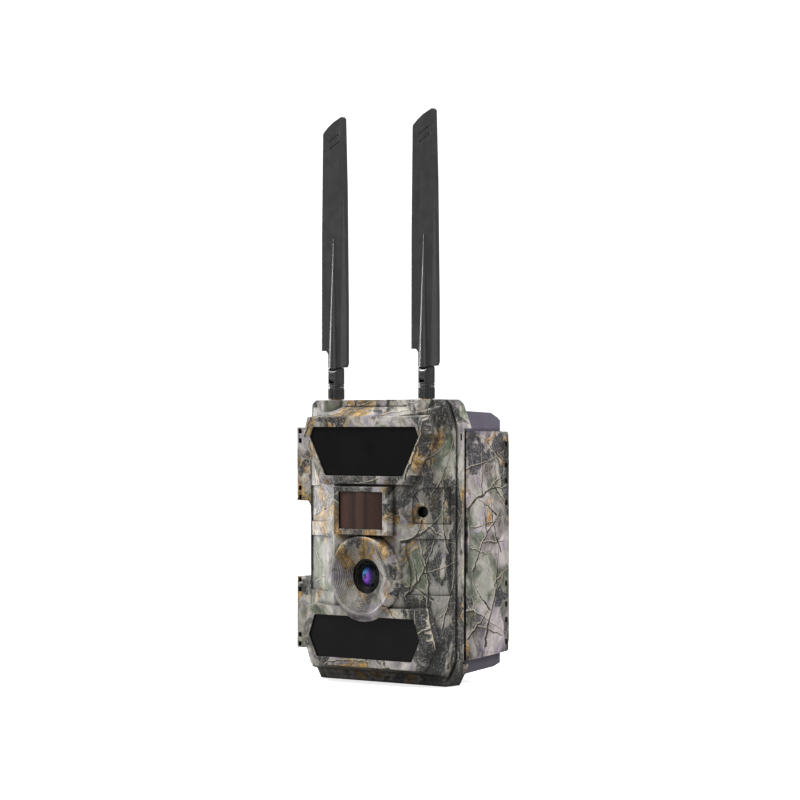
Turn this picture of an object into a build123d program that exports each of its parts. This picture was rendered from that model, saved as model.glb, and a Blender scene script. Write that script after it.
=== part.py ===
# Trail camera on a strap bracket, with two folding antennas. Millimetres.
# +Z is up, the front faces -Y and +X is the viewer's right.
# It is modelled with Y = 0 at the front of the infrared windows and Z = 0 near the
# lowest edge of the cover, then moved so the origin is the tripod socket mouth.
from build123d import *
import os
from math import cos, sin, pi

# ---- driving dimensions ----
BODY_H = 150.0                    # cover height
HALF_W = 51.5                     # half width over the cover lip
WALL = 2.2                        # moulded wall
PART_Y = 26.0                     # parting plane between cover and housing
GAP = 0.2                         # gap at the parting plane
HOUSE_HALF_W = 46.8               # housing half width
HOUSE_BACK_Y = 61.0               # rear face of the housing
STRAP_Y0, STRAP_Y1 = 64.2, 69.8   # front and rear of the strap tunnels
LENS_Z = 57.0                     # optical axis height
PIR_Z = 91.7                      # motion sensor height
LIGHT_X, LIGHT_Z = 34.6, 91.4     # light sensor
SPEAKER_Z = 44.0
ANT_X, ANT_Y = 31.4, 13.4         # antenna axis, one each side
ELBOW_Z, ANT_TIP_Z = 163.0, 302.0
HINGE_X, HINGE_Y = -56.0, 22.0    # cover hinge axis
HINGE_R, KNUCKLE_H = 3.5, 10.2    # cover hinge knuckles
LATCH_X, LATCH_Y = 49.4, 56.0     # latch hinge axis
LATCH_KNUCKLE_R = 2.3
PIN_R, SMALL_PIN_R = 1.25, 1.0    # cover hinge pin; latch and antenna pins
PIN_FIT = 0.05                    # radial clearance round a pin
SOCKET_Y, SOCKET_Z = 42.0, 5.0    # tripod socket mouth
SOCKET_R, SOCKET_L = 2.6, 9.0
DC_X, DC_Y = -26.0, 41.0          # power inlet boss
DC_AXIS_Y = DC_Y - 1.5            # power jack axis
CELL_R, CELL_L = 7.1, 50.2        # AA cell
CELL_PITCH, CELL_Y = 14.6, 46.4
LED_PITCH = 7.4
LED_BOARD_Y = (10.0, 11.6)
PANEL_Y = (23.0, 25.0)            # inner panel
PANEL_CUT = (20, 27)              # span of a cut right through the panel
SIDES = (-1, 1)                   # left, right or front, back

# (X, Z) of screws and keys
PANEL_SCREWS = [(-42.0, 134.0), (42.0, 134.0), (-42.0, 84.0), (42.0, 84.0),
                (-41.0, 16.5), (41.0, 16.5)]
BRACKET_SCREWS = [(-38.0, 24.0), (38.0, 24.0), (-38.0, 126.0), (38.0, 126.0)]
KEYS = {"key_ok": (0, 71), "key_up": (0, 80), "key_down": (0, 62),
        "key_left": (-10.5, 71), "key_right": (10.5, 71)}
# (bottom Z, top Z) of each hinge and each row of cells
COVER_HINGES = [(95.7, 135.4), (16.1, 54.8)]
LATCH_HINGES = [(91.0, 131.0), (17.6, 57.6)]
CELL_ROWS = [(z, z + CELL_L) for z in (21.2, 78.2)]
CELL_COLUMNS = [(i - 2.5) * CELL_PITCH for i in range(6)]

# ---- measured outlines ----
# Cover lip, (X, Z)
LIP = [(-43.5, 0.4), (-48.0, 8.0), (-51.0, 14.0), (-HALF_W, 135.5), (-46.5, 147.6),
       (-43.5, BODY_H), (43.5, BODY_H), (46.5, 147.6), (HALF_W, 135.5), (51.0, 14.0),
       (48.0, 8.0), (43.5, 0.4)]
# Cover body: front view (X, Z), plan (X, Y), side (Y, Z)
COVER_FRONT = [(-42.6, 1.6), (-46.9, 8.6), (-49.8, 14.4), (-50.3, 135.2), (-45.7, 147.2),
               (-42.8, BODY_H), (42.8, BODY_H), (45.7, 147.2), (50.3, 135.2), (49.8, 14.4),
               (46.9, 8.6), (42.6, 1.6)]
COVER_PLAN = [(-50.2, 40), (-50.2, 14.3), (-44, 8.5), (-22, 1.2), (22, 1.2), (44, 8.5),
              (50.2, 14.3), (50.2, 40)]
COVER_SIDE = [(40, 3.0), (14.6, 3.0), (13.5, 5.6), (0.6, 9.6), (0.6, 141.2), (3.2, 142.3),
              (9.0, 146.2), (9.8, BODY_H), (40, BODY_H)]
# Infrared windows and the bezels round them, (X, Z)
UPPER_WINDOW = [(-35.3, 135.55), (-37.7, 130.3), (-26.7, 109.9), (26.7, 109.9),
                (37.7, 130.3), (35.3, 135.55)]
LOWER_WINDOW = [(-34.3, 35.7), (-38.3, 24.8), (-32.8, 13.6), (32.8, 13.6), (38.3, 24.8),
                (34.3, 35.7)]
UPPER_BEZEL = [(-40.6, 142.6), (-44.2, 131.4), (-31.2, 103.9), (31.2, 103.9),
               (44.2, 131.4), (40.6, 142.6)]
LOWER_BEZEL = [(-39.6, 42.4), (-44.6, 25.0), (-38.0, 7.6), (38.0, 7.6), (44.6, 25.0),
               (39.6, 42.4)]
# Lens ring outside, (radius, Y)
LENS_RING = [(0, 6), (25.0, 6), (24.6, 2.6), (23.2, 0.0), (21.4, -2.4), (20.7, -3.0),
             (19.9, -3.0)]
# Section of the curved motion sensor lens, (X, Y)
PIR_SECTION = [(-15.0, -1.7), (-15.0, -2.3), (-9.0, -2.75), (-3.0, -2.95), (3.0, -2.95),
               (9.0, -2.75), (15.0, -2.3), (15.0, -1.7), (9.0, -1.75), (3.0, -1.8),
               (-3.0, -1.8), (-9.0, -1.75)]
# Camera barrel, its front element and one infrared LED, (radius, Y)
BARREL = [(5.5, 4.6), (7.4, 2.8), (7.7, 2.8), (7.7, 13.0), (3.5, 13.0), (3.5, 10.5),
          (5.5, 9.0)]
ELEMENT = [(0, 2.8), (1.5, 2.9), (3.0, 3.25), (4.3, 3.85), (5.35, 4.7), (5.35, 8.6),
           (0, 8.6)]
LED = [(0, 3.5), (1.3, 3.9), (2.2, 4.8), (2.5, 6.0), (2.5, 8.9), (2.9, 8.9), (2.9, 9.9),
       (0, 9.9)]
# Antenna blade face, (X from the antenna axis, Z)
BLADE = [(-3.6, 167.3), (-3.6, 174.6), (-5.0, 176.4), (-8.9, 176.6), (-8.2, 293.2),
         (-7.8, 294.2), (-4.6, 297.0), (-1.2, 299.3), (2.4, 301.0), (4.8, ANT_TIP_Z),
         (5.8, 300.9), (8.1, 200.0), (8.2, 169.4), (6.6, 167.6)]
# Antenna blade edge view, (Y from the antenna axis, Z)
BLADE_EDGE = [(-2.5, 160), (-2.5, 185), (-1.5, 305), (1.5, 305), (2.5, 185), (2.5, 160)]
# Housing: front view (X, Z), plan (X, Y), side (Y, Z)
HOUSE_FRONT = [(-40.5, 3.0), (-HOUSE_HALF_W, 12.0), (-HOUSE_HALF_W, 135.0), (-40.5, 146.0),
               (40.5, 146.0), (HOUSE_HALF_W, 135.0), (HOUSE_HALF_W, 12.0), (40.5, 3.0)]
HOUSE_PLAN = [(-HOUSE_HALF_W, 20), (-HOUSE_HALF_W, 56.0), (-43.0, HOUSE_BACK_Y),
              (43.0, HOUSE_BACK_Y), (HOUSE_HALF_W, 56.0), (HOUSE_HALF_W, 20)]
HOUSE_SIDE = [(PART_Y - 10, 144.7), (54.2, 143.2), (58.2, 140.6), (60.4, 136.8),
              (HOUSE_BACK_Y, 133.9), (HOUSE_BACK_Y, 15.4), (59.2, 11.6), (53.6, 8.6),
              (PART_Y - 10, 4.3)]
# Latch panel: side (Y, Z), plan (X, Y)
LATCH_SIDE = [(22.0, 13.8), (22.0, 133.4), (LATCH_Y, 133.2), (LATCH_Y, 17.3)]
LATCH_PLAN = [(48.4, 22.0), (51.0, 22.0), (52.6, 50.0), (52.6, LATCH_Y), (51.8, LATCH_Y),
              (51.8, 53.0), (50.6, 53.0), (50.6, 52.2), (48.4, 52.2)]


# ---- helpers ----
def polygon(points, radius=0.0):
    sketch = Polygon(*points, align=None)
    if radius:
        sketch = fillet(sketch.vertices(), radius)
    return sketch


def grow(sketch, margin):
    return offset(sketch, amount=margin, kind=Kind.INTERSECTION) if margin else sketch


def prism_y(sketch, y0, y1, taper=0.0):
    """Sketch drawn as (X, Z), solid from y0 to y1; taper narrows it toward y1."""
    plane = Plane(origin=(0, y0, 0), x_dir=(1, 0, 0), z_dir=(0, -1, 0))
    way = (0, 1 if y1 > y0 else -1, 0)
    return extrude(plane * sketch, amount=abs(y1 - y0), dir=way, taper=taper)


def prism_z(sketch, z0, z1):
    """Sketch drawn as (X, Y)."""
    return extrude(Plane(origin=(0, 0, z0)) * sketch, amount=z1 - z0, dir=(0, 0, 1))


def prism_x(sketch, x0, x1):
    """Sketch drawn as (Y, Z)."""
    plane = Plane(origin=(x0, 0, 0), x_dir=(0, 1, 0), z_dir=(1, 0, 0))
    return extrude(plane * sketch, amount=x1 - x0, dir=(1, 0, 0))


def box(x0, x1, y0, y1, z0, z1):
    return Pos((x0 + x1) / 2, (y0 + y1) / 2, (z0 + z1) / 2) * Box(x1 - x0, y1 - y0, z1 - z0)


def rod_y(x, z, radius, y0, y1):
    return Pos(x, (y0 + y1) / 2, z) * Rot(90, 0, 0) * Cylinder(radius, y1 - y0)


def rod_z(x, y, radius, z0, z1):
    return Pos(x, y, (z0 + z1) / 2) * Cylinder(radius, z1 - z0)


def rod_x(y, z, radius, x0, x1):
    return Pos((x0 + x1) / 2, y, z) * Rot(0, 90, 0) * Cylinder(radius, x1 - x0)


def turned_y(points, x, z):
    """Profile of (radius, Y) turned about the Y direction through (x, z)."""
    face = Plane(origin=(0, 0, 0), x_dir=(1, 0, 0), z_dir=(0, 0, 1)) * polygon(points)
    return Pos(x, 0, z) * revolve(face, axis=Axis.Y)


def round_rect(x0, x1, z0, z1, radius):
    return Pos((x0 + x1) / 2, (z0 + z1) / 2) * RectangleRounded(x1 - x0, z1 - z0, radius)


def cable(points, bend, radius):
    path = FilletPolyline(*points, radius=bend)
    return sweep(Plane(origin=path @ 0, z_dir=path % 0) * Circle(radius), path=path)


def cross_screw(x, z, shank, head, slot):
    """Screw along Y: shank and head are (radius, y0, y1),
    slot is (half width, half length, y0, y1)."""
    thin, long, y0, y1 = slot
    screw = rod_y(x, z, *shank) + rod_y(x, z, *head)
    return (screw - box(x - thin, x + thin, y0, y1, z - long, z + long)
            - box(x - long, x + long, y0, y1, z - thin, z + thin))


def solids_of(item):
    if isinstance(item, (list, tuple)):
        return [solid for part in item for solid in solids_of(part)]
    return list(item.solids())


def write_part(name, *shapes):
    """Move the shapes to the tripod socket frame and write them as one STEP file."""
    moved = [Pos(0, -SOCKET_Y, -SOCKET_Z) * solid for solid in solids_of(shapes)]
    shape = moved[0] if len(moved) == 1 else Compound(children=moved)
    shape.label = name
    export_step(shape, "parts/" + name + ".step")


os.makedirs("parts", exist_ok=True)


# ---- front cover ----
def cover_form(inset):
    """Cover body, shrunk on all sides by inset."""
    front = prism_y(grow(polygon(COVER_FRONT), -inset), -8, 30)
    plan = prism_z(grow(polygon(COVER_PLAN), -inset), -5, 155)
    side = prism_x(grow(polygon(COVER_SIDE), -inset), -70, 70)
    return front & plan & side


def upper_window(margin=0.0):
    return grow(polygon(UPPER_WINDOW, 1.0), margin)


def lower_window_blank(margin):
    return grow(polygon(LOWER_WINDOW, 1.0), margin)


def lower_window(margin=0.0):
    return lower_window_blank(margin) - Pos(0, LENS_Z) * Circle(23.9 - margin)


def lens_ring():
    """Ring flared outside, with a stepped dish inside."""
    steps = 11
    profile = list(LENS_RING)
    for i in range(steps):
        radius = 19.4 - i * (9.8 / steps)
        y = -2.7 + i * (4.2 / steps)
        profile += [(radius, y), (radius - 0.42, y + 0.02), (radius - 0.50, y + 0.36)]
    return turned_y(profile + [(9.4, 1.55), (0, 1.55)], 0, LENS_Z)


def flank_pads():
    """Skin 0.85 thick to remove from the right flank."""
    skin = cover_form(0) - cover_form(0.85)
    upper = (round_rect(29.6, 60, 85.0, 104.2, 1.5) - (Pos(29.6, 104.2) * Rectangle(16, 16))
             + (Pos(37.6, 96.2) * Circle(8.0) & Pos(36, 98) * Rectangle(12.8, 14)))
    lower = round_rect(26.0, 60, 48.0, 77.5, 3.0) - Pos(0, LENS_Z) * Circle(28.6)
    zone = box(20, 48.6, -5, 13.2, 0, 150)
    return (prism_y(upper, -8, 20) + prism_y(lower, -8, 20)) & skin & zone


def cover_cavity():
    cavity = cover_form(WALL) & box(-47.6, 45.3, -10, 40, 5.4, BODY_H - WALL)
    cavity = cavity + (prism_y(upper_window(1.6), 3.2, 14)
                       + prism_y(lower_window_blank(1.2), 3.2, 14)
                       - rod_y(0, LENS_Z, 26.0, -5, 6.0))
    pir_room = round_rect(-14.4, 14.4, PIR_Z - 9.1, PIR_Z + 9.1, 1)
    cavity = cavity + prism_y(pir_room, -1.2, 14)
    cavity = cavity - rod_y(0, LENS_Z, 12.0, -5, 5.2)
    for side in SIDES:
        cavity = cavity + rod_z(side * ANT_X, ANT_Y, 6.1, 142.6, BODY_H - WALL)
    return cavity


def add_cover_hinge(cover, z0, z1):
    """Front plate with a knuckle at each end."""
    rib = [(HINGE_X + 4.0, z0 + 0.5), (-49.6, z0 - 2.8), (-49.6, z0 + 0.5)]
    plate = box(HINGE_X - HINGE_R, -49.5, 13.3, 15.3, z0, z1)
    cover = cover + (plate + prism_y(polygon(rib), 13.3, 15.3))
    for bottom, top in ((z0, z0 + KNUCKLE_H), (z1 - KNUCKLE_H, z1)):
        knuckle = (box(HINGE_X - HINGE_R, HINGE_X + HINGE_R, 14.8, HINGE_Y, bottom, top)
                   + rod_z(HINGE_X, HINGE_Y, HINGE_R, bottom, top))
        knuckle = knuckle - rod_z(HINGE_X, HINGE_Y, PIN_R + PIN_FIT, bottom - 1, top + 1)
        cover = cover + knuckle + box(HINGE_X, -49.6, 15.0, 18.5, bottom, top)
    # small square pockets in the front of the plate
    for z in (z0 + 1.9, z0 + 6.9, z1 - 2.0, z1 - 7.2):
        cover = cover - box(HINGE_X - 2.4, HINGE_X - 0.3, 12, 15.8, z - 1.25, z + 1.25)
    return cover


def front_cover():
    upper_bezel = prism_y(polygon(UPPER_BEZEL, 1.6), 12.5, -0.8, taper=7)
    lower_bezel = prism_y(polygon(LOWER_BEZEL, 1.8), 12.5, -0.8, taper=7)
    pir_box = prism_y(round_rect(-20.2, 20.2, 77.4, 105.6, 1.6), 8.0, -3.2, taper=8)
    lip = prism_y(polygon(LIP, 1.2), 15.0, PART_Y - GAP)
    cover = cover_form(0) + upper_bezel + lower_bezel + pir_box + lip
    # antenna bosses on the top bevel
    for side in SIDES:
        cover = cover + rod_z(side * ANT_X, ANT_Y, 8.4, 141.6, BODY_H)
    cover = cover - rod_y(0, LENS_Z, 20.0, -6, 6) + lens_ring()
    # trim anything outside the lip
    cover = cover & prism_y(polygon(LIP, 1.2), -8, PART_Y - GAP)
    # latch recess on the right
    cover = cover - box(47.6, 60, 20.0, 40, 12.2, 134.8)
    pads = flank_pads()
    cover = cover - pads - mirror(pads, Plane.YZ)
    # thin cut across the top bevel between the bosses
    cover = cover - box(-21.5, 21.5, 7.4, 9.4, 146.3, 146.7)
    # small slot in each side of the lip
    cover = (cover - box(50.4, 53, 16.8, 18.0, 128.6, 132.0)
             - box(-53, -50.4, 16.8, 18.0, 128.6, 132.0))
    cover = cover - cover_cavity()
    # window seats, then the openings behind them
    cover = cover - prism_y(upper_window(0.12), -3, 1.6) - prism_y(upper_window(-1.6), 1.0, 6)
    cover = cover - prism_y(lower_window(0.12), -3, 1.6) - prism_y(lower_window(-1.6), 1.0, 8)
    pir_seat = round_rect(-15.15, 15.15, PIR_Z - 9.85, PIR_Z + 9.85, 0.4)
    pir_opening = round_rect(-13.8, 13.8, PIR_Z - 8.5, PIR_Z + 8.5, 0.4)
    cover = cover - prism_y(pir_seat, -6, -1.6) - prism_y(pir_opening, -6, 4)
    cover = cover - rod_y(0, LENS_Z, 9.3, 0, 2.65) - rod_y(0, LENS_Z, 8.0, 0, 7)
    # light sensor hole on the right, pinhole on the left
    cover = cover - rod_y(LIGHT_X, LIGHT_Z, 3.0, -2, 16) - rod_y(-32.6, 91.6, 0.6, -2, 16)
    for side in SIDES:
        cover = cover - rod_z(side * ANT_X, ANT_Y, 3.3, 140, 152)
    # panel screw posts
    post_limit = cover_form(0.8)
    for x, z in PANEL_SCREWS:
        post = rod_y(x, z, 2.7, 7.5, 22.9) & post_limit
        cover = cover + post - rod_y(x, z, 1.15, 13.5, 30)
    for z0, z1 in COVER_HINGES:
        cover = add_cover_hinge(cover, z0, z1)
    return cover


write_part("front_cover", front_cover())
write_part("upper_led_window", prism_y(upper_window(), 0.0, 1.5))
write_part("lower_led_window", prism_y(lower_window(), 0.0, 1.5))
write_part("pir_lens", prism_z(polygon(PIR_SECTION), PIR_Z - 9.7, PIR_Z + 9.7))
write_part("lens_window", rod_y(0, LENS_Z, 9.2, 1.6, 2.6))


# ---- camera module ----
def lens_holder():
    return (box(-10, 10, 9.0, 15.3, LENS_Z - 10, LENS_Z + 10)
            - rod_y(0, LENS_Z, 7.75, 8, 13.2)
            - box(-8, 8, 13.1, 15.4, LENS_Z - 7, LENS_Z + 7))


write_part("lens_barrel", turned_y(BARREL, 0, LENS_Z))
write_part("lens_element", turned_y(ELEMENT, 0, LENS_Z))
write_part("lens_holder", lens_holder())
write_part("ir_cut_filter", box(-7.2, 1.8, 13.4, 14.1, LENS_Z - 4.5, LENS_Z + 4.5)
           - rod_y(-4.8, LENS_Z, 1.6, 13, 15))
write_part("image_sensor_board", box(-10, 10, 15.5, 16.6, LENS_Z - 10, LENS_Z + 10)
           + box(-3.6, 3.6, 14.6, 15.6, LENS_Z - 3, LENS_Z + 3))


# ---- infrared boards and sensors ----
def led_rows(rows):
    """Centred rows of LEDs; each row is (count, Z)."""
    return [turned_y(LED, (i - (count - 1) / 2) * LED_PITCH, z)
            for count, z in rows for i in range(count)]


# the upper board has a tongue reaching down behind the motion sensor
write_part("upper_led_board", prism_y(upper_window(0.9), *LED_BOARD_Y)
           + box(-12, 12, *LED_BOARD_Y, 84, 112))
write_part("lower_led_board", prism_y(lower_window_blank(0.6), *LED_BOARD_Y))
write_part("upper_ir_leds", led_rows([(9, 131.0), (8, 123.4), (7, 115.8)]))
write_part("lower_ir_leds", led_rows([(9, 27.5), (9, 19.6)]))
write_part("pir_sensor", rod_y(0, PIR_Z, 4.15, 5.6, 9.9) + rod_y(0, PIR_Z, 4.7, 9.2, 9.9))
write_part("light_sensor", rod_y(LIGHT_X, LIGHT_Z, 2.85, 9.5, 17.4))

# ---- main board and what it carries ----
write_part("main_board", box(-38.0, 38.0, 17.6, 19.2, 12.0, 138.0))
write_part("modem_module", box(-15, 15, 15.0, 17.5, 106, 136))
# card slots are shells open at the bottom, with the card sticking out
write_part("sd_slot", box(-39.4, -12.6, 19.3, 22.6, 30, 58)
           - box(-38.2, -13.8, 19.8, 22.2, 28, 57))
write_part("sd_card", box(-38, -14, 19.95, 22.05, 24.4, 56.4))
write_part("sim_slot", box(13.0, 31.0, 19.3, 21.8, 34, 58)
           - box(14.3, 29.7, 19.9, 21.0, 32, 57))
write_part("sim_card", box(14.5, 29.5, 20.05, 20.85, 30.5, 55.5))
write_part("speaker", rod_y(0, SPEAKER_Z, 10.0, 19.4, 21.4)
           + rod_y(0, SPEAKER_Z, 8.2, 21.2, 22.6))
write_part("lcd_module", box(-27, 27, 19.5, 22.6, 88, 128))
write_part("lcd_window", prism_y(round_rect(-25.9, 25.9, 90.1, 126.9, 1.5), 23.8, 24.9))


# ---- inner panel with keys ----
def inner_panel():
    panel = prism_y(round_rect(-45.0, 44.4, 9.6, 139.8, 4.0), *PANEL_Y)
    # display window seat and opening
    panel = (panel - prism_y(round_rect(-26.0, 26.0, 90.0, 127.0, 1.5), 23.7, 26)
             - prism_y(round_rect(-24, 24, 92, 125, 1), 20, 26))
    for x, z in KEYS.values():
        panel = panel - rod_y(x, z, 3.25, *PANEL_CUT)
    # mode switch slot, then the SD and SIM card openings
    for opening in ((-38.6, -27.4, 68.8, 73.2, 0.5), (-40.2, -11.8, 10.2, 29.0, 2),
                    (12.4, 31.6, 10.2, 33.0, 2)):
        panel = panel - prism_y(round_rect(*opening), *PANEL_CUT)
    # speaker grille
    hole_pitch = 3.0
    for i in range(-2, 3):
        for j in range(-2, 3):
            if i * i + j * j <= 5:
                panel = panel - rod_y(hole_pitch * i, SPEAKER_Z + hole_pitch * j, 0.8,
                                      *PANEL_CUT)
    for x, z in PANEL_SCREWS:
        panel = panel - rod_y(x, z, 1.4, *PANEL_CUT) - rod_y(x, z, 2.6, 24.0, 27)
    # notch for the battery lead, next to the cover hinge
    return panel - prism_y(round_rect(-48, -39.6, 74.9, 79.7, 1.2), *PANEL_CUT)


def tact_switch(x, z):
    return (box(x - 2.6, x + 2.6, 19.3, 20.2, z - 2.6, z + 2.6)
            + rod_y(x, z, 1.4, 20.0, 20.55))


write_part("inner_panel", inner_panel())
write_part("panel_screws", [
    cross_screw(x, z, shank=(1.08, 15.0, 24.2), head=(2.4, 24.1, 24.95),
                slot=(0.3, 1.6, 24.6, 26)) for x, z in PANEL_SCREWS])
for key, (x, z) in KEYS.items():
    write_part(key, rod_y(x, z, 3.1, 21.5, 25.5) + rod_y(x, z, 3.9, 21.5, 22.5))
write_part("tact_switches", [tact_switch(x, z) for x, z in KEYS.values()])
write_part("mode_switch", box(-38.0, -28.0, 19.3, 22.0, 67.5, 74.5))
write_part("mode_switch_knob", box(-38.4, -34.4, 22.15, 22.85, 68.2, 73.8)
           + box(-37.9, -34.9, 22.5, 25.6, 69.2, 72.8))


# ---- antennas ----
def antenna_jack(side):
    x = side * ANT_X
    flange = prism_z(Pos(x, ANT_Y) * RegularPolygon(5.0, 6), 144.4, 147.6)
    return (rod_z(x, ANT_Y, 3.1, 144.6, 155.0) + flange
            + rod_z(x, ANT_Y, 2.2, 139.0, 144.6) - rod_z(x, ANT_Y, 0.5, 150, 156))


def knurl(x, y, root_r=4.08, crest_r=4.42, teeth=22):
    points = []
    for i in range(teeth):
        # corner radius and its place as a fraction of a tooth
        for radius, place in ((crest_r, -0.28), (crest_r, 0.10), (root_r, 0.28),
                              (root_r, 0.62)):
            angle = 2 * pi * (i + place) / teeth
            points.append((x + radius * cos(angle), y + radius * sin(angle)))
    return polygon(points)


def antenna_nut(x):
    nut = (prism_z(knurl(x, ANT_Y), 150.9, 156.0) + rod_z(x, ANT_Y, 4.3, 150.3, 151.0)
           + rod_z(x, ANT_Y, 4.2, 155.9, 156.95))
    return nut - rod_z(x, ANT_Y, 3.2, 150, 155.8) - rod_z(x, ANT_Y, 2.1, 150, 158)


def elbow_bore(x):
    return rod_x(ANT_Y, ELBOW_Z, SMALL_PIN_R + PIN_FIT, x - 8, x + 8)


def antenna_base(x):
    """Stem with a round-topped fork for the blade tongue."""
    stem = rod_z(x, ANT_Y, 2.0, 155.2, 157.5) + rod_z(x, ANT_Y, 2.9, 155.2, 155.7)
    fork = rod_z(x, ANT_Y, 4.35, 157.1, 168)
    fork = fork & (box(x - 6, x + 6, ANT_Y - 6, ANT_Y + 6, 157, ELBOW_Z)
                   + rod_x(ANT_Y, ELBOW_Z, 4.3, x - 6, x + 6))
    fork = fork - box(x - 1.75, x + 1.75, ANT_Y - 8, ANT_Y + 8, ELBOW_Z - 4.2, 170)
    # turned groove under the fork
    fork = fork - (rod_z(x, ANT_Y, 6, 158.0, 158.5) - rod_z(x, ANT_Y, 4.0, 157.9, 158.6))
    return stem + fork - elbow_bore(x)


def antenna_blade(x):
    blade = prism_y(polygon([(x + dx, z) for dx, z in BLADE]), ANT_Y - 3, ANT_Y + 3)
    edge = polygon([(ANT_Y + dy, z) for dy, z in BLADE_EDGE])
    blade = blade & prism_x(edge, x - 20, x + 20)
    # long bevels: X where the bevel starts, X past the edge, Y at the face, Y at the edge
    for face in SIDES:
        for start, rim, y_face, y_rim in ((3.9, 10, 3.2, 0.2), (-7.2, -11, 3.0, 0.3)):
            wedge = polygon([(x + start, ANT_Y + face * y_face),
                             (x + rim, ANT_Y + face * y_face),
                             (x + rim, ANT_Y + face * y_rim)])
            blade = blade - prism_z(wedge, 160, 310)
    # tapering rib on both faces: Z, Y from the axis, half width, half depth
    for face in SIDES:
        blade = blade + loft([
            Plane.XY.offset(z) * Pos(x, ANT_Y + face * dy) * Ellipse(half_w, half_d)
            for z, dy, half_w, half_d in ((167.0, 1.25, 3.6, 2.8), (190.0, 1.3, 2.6, 2.3),
                                          (236.0, 1.5, 0.5, 0.75))], ruled=True)
    # clear the fork, then add the tongue between its cheeks
    blade = blade - rod_x(ANT_Y, ELBOW_Z, 4.75, x - 4.8, x + 4.8)
    tongue = (rod_x(ANT_Y, ELBOW_Z, 4.15, x - 1.65, x + 1.65)
              + box(x - 1.65, x + 1.65, ANT_Y - 2.2, ANT_Y + 2.2, ELBOW_Z, 169.5))
    blade = blade + tongue - elbow_bore(x)
    # two short slanted grooves near the tip, on both faces
    for y0, y1 in ((ANT_Y - 4, ANT_Y - 1.35), (ANT_Y + 1.35, ANT_Y + 4)):
        for z in (284.4, 288.6):
            groove = polygon([(x - 3.6, z), (x + 3.6, z + 4), (x + 3.6, z + 5),
                              (x - 3.6, z + 1)])
            blade = blade - prism_y(groove, y0, y1)
    return blade


def coax_lead(side):
    """Lead from the jack to the modem."""
    return cable([(side * ANT_X, ANT_Y, 138.8), (side * ANT_X, ANT_Y, 133.0),
                  (side * 23.0, 14.4, 128.0), (side * 15.6, 14.4, 128.0)],
                 bend=2.0, radius=0.75)


write_part("antenna_jacks", [antenna_jack(side) for side in SIDES])
for x, side_name in ((-ANT_X, "left"), (ANT_X, "right")):
    write_part("antenna_nut_" + side_name, antenna_nut(x))
    write_part("antenna_base_" + side_name, antenna_base(x))
    write_part("antenna_pin_" + side_name,
               rod_x(ANT_Y, ELBOW_Z, SMALL_PIN_R, x - 4.1, x + 4.1))
    write_part("antenna_blade_" + side_name, antenna_blade(x))
write_part("coax_leads", [coax_lead(side) for side in SIDES])


# ---- rear housing ----
def house_form(inset, front_y=PART_Y):
    """Housing body behind front_y, shrunk by inset."""
    front = prism_y(grow(polygon(HOUSE_FRONT, 2.0), -inset), front_y, 70)
    plan = prism_z(grow(polygon(HOUSE_PLAN), -inset), -5, 160)
    side = prism_x(grow(polygon(HOUSE_SIDE, 1.0), -inset), -70, 70)
    return front & plan & side


def rear_housing():
    house = house_form(0) - house_form(WALL, PART_Y - 1)
    # tripod socket boss
    house = (house + rod_z(0, SOCKET_Y, 9.0, SOCKET_Z, 16.5)
             - rod_z(0, SOCKET_Y, 4.85, SOCKET_Z - 1, SOCKET_Z + 11.0))
    # power inlet boss, with a recess for the plug
    house = (house + box(DC_X - 8, DC_X + 8, DC_Y - 7.6, DC_Y + 7.6, SOCKET_Z + 0.4, 13.0)
             - rod_z(DC_X, DC_AXIS_Y, 4.1, SOCKET_Z - 1, 14.0))
    house = house - box(DC_X - 6.6, DC_X + 6.6, DC_Y - 9.2, DC_Y + 8.0,
                        SOCKET_Z - 2, SOCKET_Z + 2.4)
    # cover hinge arms on the left, between the cover knuckles
    arm = [(HINGE_X - HINGE_R, HINGE_Y), (HINGE_X + HINGE_R, HINGE_Y),
           (HINGE_X + HINGE_R, PART_Y + 0.9), (-46.0, PART_Y + 0.9), (-46.0, 31.6),
           (HINGE_X + 0.8, 31.6), (HINGE_X - HINGE_R, 27.0)]
    for z0, z1 in COVER_HINGES:
        bottom, top = z0 + KNUCKLE_H + 0.3, z1 - KNUCKLE_H - 0.3
        house = house + (prism_z(polygon(arm), bottom, top)
                         + rod_z(HINGE_X, HINGE_Y, HINGE_R, bottom, top)
                         - rod_z(HINGE_X, HINGE_Y, PIN_R + PIN_FIT, bottom - 1, top + 1))
    # latch hinge arms on the right
    arm = [(LATCH_X - 2.2, LATCH_Y), (LATCH_X + 2.2, LATCH_Y), (LATCH_X + 1.2, 57.6),
           (46.0, 59.3), (44.2, 60.4), (43.5, 58.6), (46.0, LATCH_Y - 0.6)]
    for z0, z1 in LATCH_HINGES:
        for bottom, top in ((z0 + 8.8, z0 + 13.6), (z1 - 13.6, z1 - 8.8)):
            house = add_latch_knuckle(house + prism_z(polygon(arm), bottom, top), bottom, top)
    for x, z in BRACKET_SCREWS:
        house = house + rod_y(x, z, 3.0, 55.4, 60.0) - rod_y(x, z, 1.3, 54, 64)
    return house


def add_latch_knuckle(shape, z0, z1):
    return (shape + rod_z(LATCH_X, LATCH_Y, LATCH_KNUCKLE_R, z0, z1)
            - rod_z(LATCH_X, LATCH_Y, SMALL_PIN_R + PIN_FIT, z0 - 1, z1 + 1))


def housing_seal():
    """Ring just inside the mouth of the housing."""
    mouth = [(x, min(max(z, 5.0), 144.0)) for x, z in HOUSE_FRONT]
    return ((prism_y(grow(polygon(mouth, 2.0), -2.5), 25.85, 27.6)
             - prism_y(grow(polygon(mouth, 2.0), -4.2), 20, 30))
            & house_form(WALL + 0.15, PART_Y - 1))


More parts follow.
